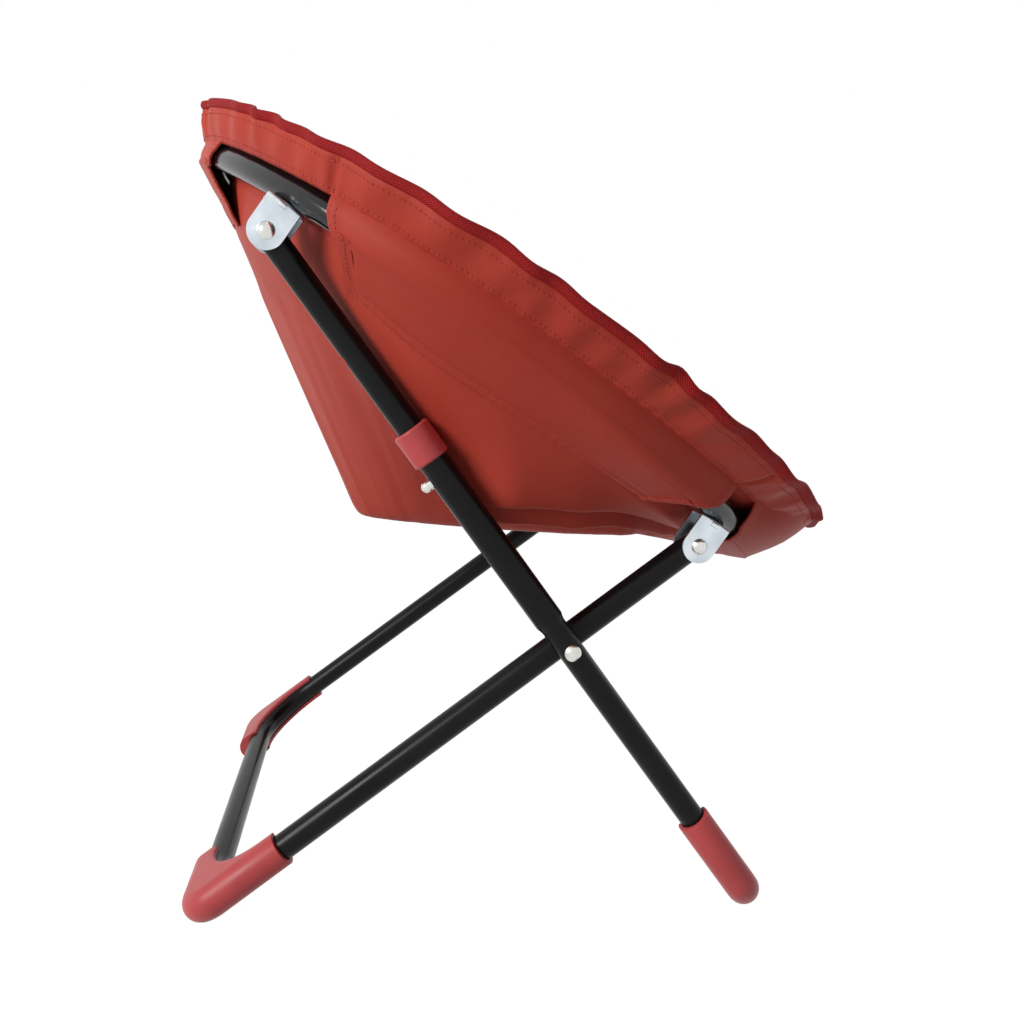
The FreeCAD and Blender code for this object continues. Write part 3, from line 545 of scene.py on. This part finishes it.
def hanging(u, v):
    """Cloth that rounds off between the points it hangs by, with soft creases along its pull."""
    column = round(u * COLUMNS)
    if column not in hanging_lines:
        hanging_lines[column] = hanging_line(u)
    points = hanging_lines[column]
    span = v * (len(points) - 3)
    k = min(int(span), len(points) - 4)
    t = span - k
    weights = ((1 - t) ** 3, 3 * t ** 3 - 6 * t * t + 4, -3 * t ** 3 + 3 * t * t + 3 * t + 1, t ** 3)
    point = sum((points[k + i] * (weight / 6) for i, weight in enumerate(weights)), Vector())
    turn = 2 * math.pi * u
    around_trip = Vector((math.cos(turn), math.sin(turn), 0))
    crumple = sum(height * noise.noise(around_trip * wide + Vector((0, 0, deep * v + seed)))
                  for height, wide, deep, seed in creases)
    inward = (CRUMPLE_CENTRE - point).normalized()
    return inside_legs(point + inward * (CRUMPLE * crumple * math.sin(math.pi * v) ** 2), v)


dish = cloth_grid("dish_hanging", COLUMNS, DISH_ROWS, hanging, DISH_MAP)
dish.data.materials.append(red_cloth)
thicken(dish)
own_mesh(dish)
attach(dish, "seat")
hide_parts("seat_dish")

# Pockets: four panels of the same cloth that close round the outside of the ring, open at the brackets.
# Each is sewn at the standing band and, under the ring, to the dish with a double row of stitches.
# Its ends are hemmed with two more rows, and the front one hangs loose from the band's edge.
POCKET = 9.3 * MM
POCKET_COLUMN = 2.5 * MM
POCKET_TURN_STEPS = 6
ROLL_ROWS = 24
ROLL_MAP = 0.04
SKIRT_ROWS = 40
SKIRT_MAP = 0.03
SKIRT_FACES = math.radians(-58)
BAND_WIDTH = 16.3 * MM
BAND_FRONT_EXTRA = 12.1 * MM
BAND_RISE = (math.radians(54), math.radians(42))
LOOSE_FROM = 0.84
LOOSE_RUN = 0.11
LOOSE_BELLY = 0.06
SPLIT_TURN = math.asin(SQUASH_PLANE / POCKET)
HEM_HOLLOW = 5 * MM
HEM_WIDTH = 7 * MM
HEM_STEP = 0.7 * MM
HEM_SLOPE = 1.5 * MM
HEM_ROWS = (1.6 * MM, 5.4 * MM)
SWELL = 1.1 * MM
SWELL_SCALE = (22, 2)
SWELL_SEED = 1.5
SEAM_PUCKER = 0.25 * MM
SEAM_PUCKER_PITCH = 7.5 * MM
SEAM_PUCKER_SEED = 31
SEAM_PUCKER_FROM = 0.8
RELIEF = 0.98
STITCH_PITCH = 3.1 * MM
STITCH_LENGTH = 2.4 * MM
THREAD = 0.36 * MM
STITCH_LIFT = 0.5 * MM
STITCH_STEPS = [k / 60 for k in range(61)]
SEAM_ROWS = (0.78, 0.96)
SEAM_INSET = 0.004
SEAM_GROOVE = 0.55 * MM
GROOVE_WIDTH = 0.06
ROLL_SEWN = 0.15
SKIRT_SEWN = 0.8
DRAWN_BACK = 1.4
REAR_OPEN = 32 * MM / RING
FRONT_OPEN = 14 * MM / RING
BACK_OPEN = 85 * MM / RING
# First and last share of the ring, and how far each end is drawn back at the seam
pocket_spans = {"pocket_back": (-REAR_SHARE + BACK_OPEN, REAR_SHARE - BACK_OPEN, 26 * MM, 26 * MM),
                "pocket_front": (FRONT_SHARE + FRONT_OPEN, 1 - FRONT_SHARE - FRONT_OPEN, 20 * MM, 20 * MM),
                "pocket_left": (REAR_SHARE + REAR_OPEN, FRONT_SHARE - FRONT_OPEN, 14 * MM, 32 * MM),
                "pocket_right": (1 - FRONT_SHARE + FRONT_OPEN, 1 - REAR_SHARE - REAR_OPEN, 32 * MM, 14 * MM)}
red_thread = cloth_finish("red_thread", ((0.46, 0.060, 0.047), (0.56, 0.085, 0.068)), roughness=0.5,
                          threads=900.0, thread_height=0.02 * MM, sheen=0.05)


def band_rise(share):
    """The standing band's slope up from outwards: steep at the back, flatter at the front."""
    return BAND_RISE[0] + (BAND_RISE[1] - BAND_RISE[0]) * frontness(share)


def loose_start(share):
    """Where a pocket leaves the band: at the band's foot, but from the band's edge at the loose front."""
    clear, seat = band_foot(share)
    foot = Vector((clear * math.cos(seat), clear * math.sin(seat)))
    part = min(1.0, max(0.0, (frontness(share) - LOOSE_FROM) / LOOSE_RUN))
    part = part * part * (3 - 2 * part)
    rise = band_rise(share)
    edge = foot + Vector((math.cos(rise), math.sin(rise))) * (BAND_WIDTH + BAND_FRONT_EXTRA)
    return foot.lerp(edge, part)


def pocket_profiles(share):
    """(outward, height) lines of a pocket: round the tube to the fold's plane, and on down to the seam."""
    start = loose_start(share)
    clear, seat = start.length, math.atan2(start.y, start.x)
    seam = Vector(seam_at(share))
    lean = math.atan2(seam.y, seam.x) + math.acos(POCKET / seam.length)
    tangent = Vector((POCKET * math.cos(lean), POCKET * math.sin(lean)))
    leaves = max(lean, SPLIT_TURN)
    turns = round_tube(POCKET, max(leaves, seat - math.acos(POCKET / clear)), leaves, POCKET_TURN_STEPS)
    touch = Vector(turns[0])
    belly = Vector((touch.y - start.y, start.x - touch.x)) * -LOOSE_BELLY
    roll = [tuple(start), tuple(start.lerp(touch, 0.5) + belly)] + turns
    if lean > SPLIT_TURN:
        split = tangent.lerp(seam, (SQUASH_PLANE - tangent.y) / (seam.y - tangent.y))
        middle = split.lerp(seam, 0.5)
    else:
        split = Vector(roll[-1])
        middle = tangent
    return roll + [tuple(split)], [tuple(split), tuple(middle), tuple(seam)]


def pocket_place(span, part):
    """Place on a pocket: part 0 is the roll, 1 the skirt. Its ends are hemmed, hollow and drawn back."""
    length = (span[1] - span[0]) * RING

    def place(u, v, lift=0.0):
        overall = (part + v) / 2
        hollow = HEM_HOLLOW * math.sin(math.pi * overall)
        first = span[0] + (hollow + span[2] * overall ** DRAWN_BACK) / RING
        last = span[1] - (hollow + span[3] * overall ** DRAWN_BACK) / RING
        share = first + (last - first) * u
        outward, height = smooth_path(pocket_profiles(share)[part], v)
        spot = Vector((share * SWELL_SCALE[0], overall * SWELL_SCALE[1], SWELL_SEED))
        swell = SWELL * math.sin(math.pi * overall) * noise.noise(spot)
        hem = HEM_STEP * max(0.0, min(1.0, (HEM_WIDTH - min(u, 1 - u) * length) / HEM_SLOPE))
        near_seam = max(0.0, overall - SEAM_PUCKER_FROM) / (1 - SEAM_PUCKER_FROM)
        pucker = SEAM_PUCKER * ripple(share, SEAM_PUCKER_PITCH, SEAM_PUCKER_SEED) * near_seam
        groove = sum(math.exp(-((v - row) / GROOVE_WIDTH) ** 2) for row in SEAM_ROWS) if part == 1 else 0
        off = RELIEF * (swell + hem + pucker - SEAM_GROOVE * groove + lift)
        turn = math.atan2(height, outward) if part == 0 else SKIRT_FACES
        return beside(share, outward + off * math.cos(turn), height + off * math.sin(turn))
    return place


def sewn_rows(name, rows):
    """Rows of stitches: one stitch is repeated along each row, bent to it, and all rows become one piece."""
    sewn = []
    for points in rows:
        bpy.ops.object.select_all(action="DESELECT")
        line_data = bpy.data.curves.new("seam_line", "CURVE")
        line_data.dimensions = "3D"
        spline = line_data.splines.new("POLY")
        spline.points.add(len(points) - 1)
        for knot, point in zip(spline.points, points):
            knot.co = (*point, 1)
        line = bpy.data.objects.new("seam_line", line_data)
        bpy.context.scene.collection.objects.link(line)
        bpy.ops.mesh.primitive_uv_sphere_add(segments=6, ring_count=4, radius=1)
        row = bpy.context.object
        for vertex in row.data.vertices:
            x, y, z = vertex.co
            vertex.co = ((z + 1) * STITCH_LENGTH / 2, x * THREAD, y * THREAD)
        repeat = row.modifiers.new("repeat", "ARRAY")
        repeat.fit_type = "FIT_CURVE"
        repeat.curve = line
        repeat.use_relative_offset = False
        repeat.use_constant_offset = True
        repeat.constant_offset_displace = (STITCH_PITCH, 0, 0)
        bend = row.modifiers.new("bend", "CURVE")
        bend.object = line
        bpy.ops.object.modifier_apply(modifier="repeat")
        bpy.ops.object.modifier_apply(modifier="bend")
        bpy.data.objects.remove(line)
        sewn.append(row)
    for row in sewn:
        row.select_set(True)
    bpy.context.view_layer.objects.active = sewn[0]
    bpy.ops.object.join()
    bpy.ops.object.shade_smooth()
    piece = bpy.context.object
    piece.name = name
    piece.data.name = name
    piece.data.materials.append(red_thread)
    return piece


hem_rows = []
seam_rows = []
for name, span in pocket_spans.items():
    length = (span[1] - span[0]) * RING
    columns = round(length / POCKET_COLUMN)
    roll_place = pocket_place(span, 0)
    skirt_place = pocket_place(span, 1)
    roll = cloth_grid(name + "_roll", columns, ROLL_ROWS, roll_place, (length, ROLL_MAP), closed=False)
    skirt = cloth_grid(name + "_skirt", columns, SKIRT_ROWS, skirt_place, (length, SKIRT_MAP), closed=False)
    for piece in (roll, skirt):
        piece.data.materials.append(red_cloth)
        thicken(piece)
    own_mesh(skirt)
    for piece in (roll, skirt):
        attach(piece, "seat")
    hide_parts(name)
    for up in SEAM_ROWS:
        seam_rows.append([skirt_place(SEAM_INSET + (1 - 2 * SEAM_INSET) * k, up, STITCH_LIFT)
                          for k in STITCH_STEPS])
    for inset in HEM_ROWS:
        for u in (inset / length, 1 - inset / length):
            hem_rows.append([roll_place(u, ROLL_SEWN + (1 - ROLL_SEWN) * k, STITCH_LIFT) for k in STITCH_STEPS])
            seam_rows.append([skirt_place(u, SKIRT_SEWN * k, STITCH_LIFT) for k in STITCH_STEPS])

hem_stitches = sewn_rows("hem_stitches", hem_rows)
seam_stitches = sewn_rows("seam_stitches", seam_rows)
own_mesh(seam_stitches)
for piece in (hem_stitches, seam_stitches):
    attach(piece, "seat")

# Standing band: pocket cloth and dish cloth sewn together above the ring, doubled and lightly puffed.
# The stitching gathers it, so it puckers all the way round and is wider and flatter at the front.
BAND_GRID = (900, 28)
BAND_MAP = (RING, 0.06)
BINDING_WIDTH = 6.5 * MM
BAND_UNDER_TAPE = 4 * MM
BAND_BELOW_SEAM = 1.5 * MM
BAND_HALF = 0.8 * MM
BAND_EDGE_SLOPE = 12
PUFF = 1.9 * MM
PUFF_MEAN = 0.85
PUFF_SPREAD = 0.6
PUFF_PITCH = 27 * MM
PUFF_SEED = 12
PUCKER = 2.1 * MM
# Share, pitch and seed of the two waves that the band puckers in
pucker_waves = ((0.7, 33 * MM, 2), (0.6, 71 * MM, 6))
GATHER = 0.3 * MM
GATHER_PITCH = 9 * MM
GATHER_SEED = 17
DRAWN = 2.4 * MM
DRAWN_DEPTH = 0.9 * MM
BAND_STITCH_LIFT = 0.15 * MM
BAND_SEWN = (0.2, 0.8)
CROSS_SEWN = (0.1, 0.75)
band_seams = [span[end] for name, span in pocket_spans.items() if name in ("pocket_left", "pocket_right")
              for end in (0, 1)]


def on_band(share, along, off):
    """Point on the standing band: a distance up it from the ridge seam, and off its middle surface."""
    clear, seat = band_foot(share)
    reach = along * (1 + frontness(share) * BAND_FRONT_EXTRA / (BAND_WIDTH + BINDING_WIDTH))
    wave = PUCKER * sum(part * ripple(share, pitch, seed) for part, pitch, seed in pucker_waves)
    square = off + wave * along / BAND_WIDTH
    rise = band_rise(share)
    return beside(share, clear * math.cos(seat) + reach * math.cos(rise) - square * math.sin(rise),
                  clear * math.sin(seat) + reach * math.sin(rise) + square * math.cos(rise))


def band_face(share, part, side, lift=0.0):
    """Place on one face of the band: puffed between its stitched edges, drawn in at the cross seams."""
    near = min(abs((share - seam + 0.5) % 1.0 - 0.5) * RING for seam in band_seams)
    drawn = math.exp(-(near / DRAWN) ** 2)
    uneven = PUFF_MEAN + PUFF_SPREAD * ripple(share, PUFF_PITCH, PUFF_SEED)
    puff = PUFF * math.sin(math.pi * part) * uneven * (1 - drawn)
    puff -= DRAWN_DEPTH * drawn
    puff += GATHER * ripple(share, GATHER_PITCH, GATHER_SEED) * math.cos(math.pi * part) ** 2
    return on_band(share, (BAND_WIDTH + BAND_UNDER_TAPE) * part - BAND_BELOW_SEAM,
                   -side * ((BAND_HALF + puff) * min(1, BAND_EDGE_SLOPE * part) + lift))


def band_section(u, v):
    """Round the band's flat section: out along its underside, back along its top."""
    return band_face(u, 2 * v, 1) if v < 0.5 else band_face(u, 2 - 2 * v, -1)


band = cloth_grid("standing_band", *BAND_GRID, band_section, BAND_MAP)
band.data.materials.append(red_cloth)
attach(band, "seat")
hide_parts("rim_flange")
around = [k / 480 for k in range(481)]
across = [CROSS_SEWN[0] + CROSS_SEWN[1] * k / 20 for k in range(21)]
band_rows = []
for side in (1, -1):
    for part in BAND_SEWN:
        band_rows.append([band_face(share, part, side, BAND_STITCH_LIFT) for share in around])
for side in (1, -1):
    for seam in band_seams:
        band_rows.append([band_face(seam, part, side, BAND_STITCH_LIFT) for part in across])
band_stitches = sewn_rows("band_stitches", band_rows)
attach(band_stitches, "seat")

# Edge binding: a woven tape folded over the band's raw edge and sewn through.
# Its coarse twill shows as rows of bright and dark dots.
TAPE_GRID = (480, 18)
TAPE_MAP = (RING, 0.02)
TAPE_HALF = 1.9 * MM
TAPE_MIDDLE = 0.58
TAPE_REACH = 0.4
TAPE_UNEVEN = 0.12
TAPE_PITCH = 18 * MM
TAPE_SEED = 21
TWILL_RELIEF = 0.35 * MM
tape_material, tape_tree, tape_shader = shader_of("red_tape")
tape_shader.inputs["Roughness"].default_value = 0.62
tape_shader.inputs["Specular IOR Level"].default_value = 0.15
tape_place = tape_tree.nodes.new("ShaderNodeTexCoord")
tape_map = tape_tree.nodes.new("ShaderNodeMapping")
tape_map.inputs["Rotation"].default_value[2] = math.radians(45)
tape_tree.links.new(tape_place.outputs["UV"], tape_map.inputs["Vector"])
tape_dots = tape_tree.nodes.new("ShaderNodeMath")
tape_dots.operation = "MULTIPLY"
for socket, direction in enumerate(("X", "Y")):
    rib = tape_tree.nodes.new("ShaderNodeTexWave")
    rib.bands_direction = direction
    rib.inputs["Scale"].default_value = 300.0
    rib.inputs["Distortion"].default_value = 0.4
    tape_tree.links.new(tape_map.outputs["Vector"], rib.inputs["Vector"])
    tape_tree.links.new(rib.outputs["Fac"], tape_dots.inputs[socket])
tape_colour = ramp_between(tape_tree, tape_dots.outputs["Value"], (0.28, 0.008, 0.009), (0.58, 0.032, 0.032),
                           first=0.1, last=0.6)
tape_tree.links.new(tape_colour, tape_shader.inputs["Base Color"])
bump_into(tape_tree, tape_shader, tape_dots.outputs["Value"], TWILL_RELIEF)


def tape_section(u, v):
    """Round the tape's oval section, which grips the band's edge and varies a little in thickness."""
    turn = 2 * math.pi * v
    along = BAND_WIDTH + BINDING_WIDTH * (TAPE_MIDDLE - TAPE_REACH * math.cos(turn))
    uneven = 1 + TAPE_UNEVEN * ripple(u, TAPE_PITCH, TAPE_SEED)
    return on_band(u, along, TAPE_HALF * math.sin(turn) * uneven)


binding = cloth_grid("binding_tape", *TAPE_GRID, tape_section, TAPE_MAP)
binding.data.materials.append(tape_material)
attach(binding, "seat")
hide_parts("edge_binding")

# Studio: a plain white floor and surround, three soft lights, and the camera at the photographed angle.
# Camera and mirror rays see white; the floor keeps a faint shadow.
FLOOR_SIZE = 12
FLOOR_WHITE = 0.93
LAMP_AIM = Vector((0, 0, 0.25))
# Name, place, width in metres and power in watts
lamps = (("key_light", (-1.25, 1.85, 1.15), 0.9, 39.0),
         ("top_light", (0.1, -0.5, 2.0), 1.2, 5.0),
         ("fill_light", (0.9, -1.6, 1.0), 1.2, 6.0))
bpy.ops.object.select_all(action="DESELECT")
bpy.ops.mesh.primitive_plane_add(size=FLOOR_SIZE)
floor = bpy.context.object
floor.name = "floor"
floor_material, floor_tree, floor_shader = shader_of("floor_white")
floor_shader.inputs["Base Color"].default_value = (0.55, 0.55, 0.55, 1)
floor_shader.inputs["Roughness"].default_value = 0.9
floor_glow = floor_tree.nodes.new("ShaderNodeEmission")
floor_glow.inputs["Strength"].default_value = 1.07
floor_mix = floor_tree.nodes.new("ShaderNodeMixShader")
floor_path = floor_tree.nodes.new("ShaderNodeLightPath")


def seen_or_mirrored(tree, path):
    """1 for rays from the camera, a mirror or glass, 0 for those that light the object."""
    total = path.outputs["Is Camera Ray"]
    for ray in ("Is Glossy Ray", "Is Transmission Ray"):
        either = tree.nodes.new("ShaderNodeMath")
        either.operation = "MAXIMUM"
        tree.links.new(total, either.inputs[0])
        tree.links.new(path.outputs[ray], either.inputs[1])
        total = either.outputs["Value"]
    return total


floor_share = floor_tree.nodes.new("ShaderNodeMath")
floor_share.operation = "MULTIPLY"
floor_share.inputs[1].default_value = FLOOR_WHITE
floor_tree.links.new(seen_or_mirrored(floor_tree, floor_path), floor_share.inputs[0])
floor_tree.links.new(floor_share.outputs["Value"], floor_mix.inputs["Fac"])
floor_tree.links.new(floor_shader.outputs["BSDF"], floor_mix.inputs[1])
floor_tree.links.new(floor_glow.outputs["Emission"], floor_mix.inputs[2])
floor_tree.links.new(floor_mix.outputs["Shader"], floor_tree.nodes["Material Output"].inputs["Surface"])
floor.data.materials.append(floor_material)

world = bpy.data.worlds.new("studio")
bpy.context.scene.world = world
world.use_nodes = True
world_tree = world.node_tree
surround = world_tree.nodes["Background"]
surround.inputs["Color"].default_value = (1, 1, 1, 1)
level = world_tree.nodes.new("ShaderNodeMapRange")
level.inputs["To Min"].default_value = 0.17
level.inputs["To Max"].default_value = 1.0
world_path = world_tree.nodes.new("ShaderNodeLightPath")
world_tree.links.new(seen_or_mirrored(world_tree, world_path), level.inputs["Value"])
world_tree.links.new(level.outputs["Result"], surround.inputs["Strength"])

for name, place, width, power in lamps:
    lamp = bpy.data.lights.new(name, "AREA")
    lamp.size = width
    lamp.energy = power
    lamp_object = bpy.data.objects.new(name, lamp)
    bpy.context.scene.collection.objects.link(lamp_object)
    lamp_object.location = place
    lamp_object.rotation_euler = (LAMP_AIM - Vector(place)).to_track_quat("-Z", "Y").to_euler()

CAMERA_PLACE = Vector((-747.0, 96.2, 318.1)) * MM
CAMERA_YAW = math.radians(7.48)
CAMERA_PITCH = math.radians(-7.35)
CAMERA_LENS = 35.91
CAMERA_SENSOR = 36.0
camera_data = bpy.data.cameras.new("camera")
camera_data.lens = CAMERA_LENS
camera_data.sensor_width = CAMERA_SENSOR
camera = bpy.data.objects.new("camera", camera_data)
bpy.context.scene.collection.objects.link(camera)
camera.location = CAMERA_PLACE
level_reach = math.cos(CAMERA_PITCH)
view = Vector((math.cos(CAMERA_YAW) * level_reach, -math.sin(CAMERA_YAW) * level_reach, math.sin(CAMERA_PITCH)))
camera.rotation_euler = view.to_track_quat("-Z", "Y").to_euler()
bpy.context.scene.camera = camera
bpy.context.scene.view_settings.view_transform = "Standard"
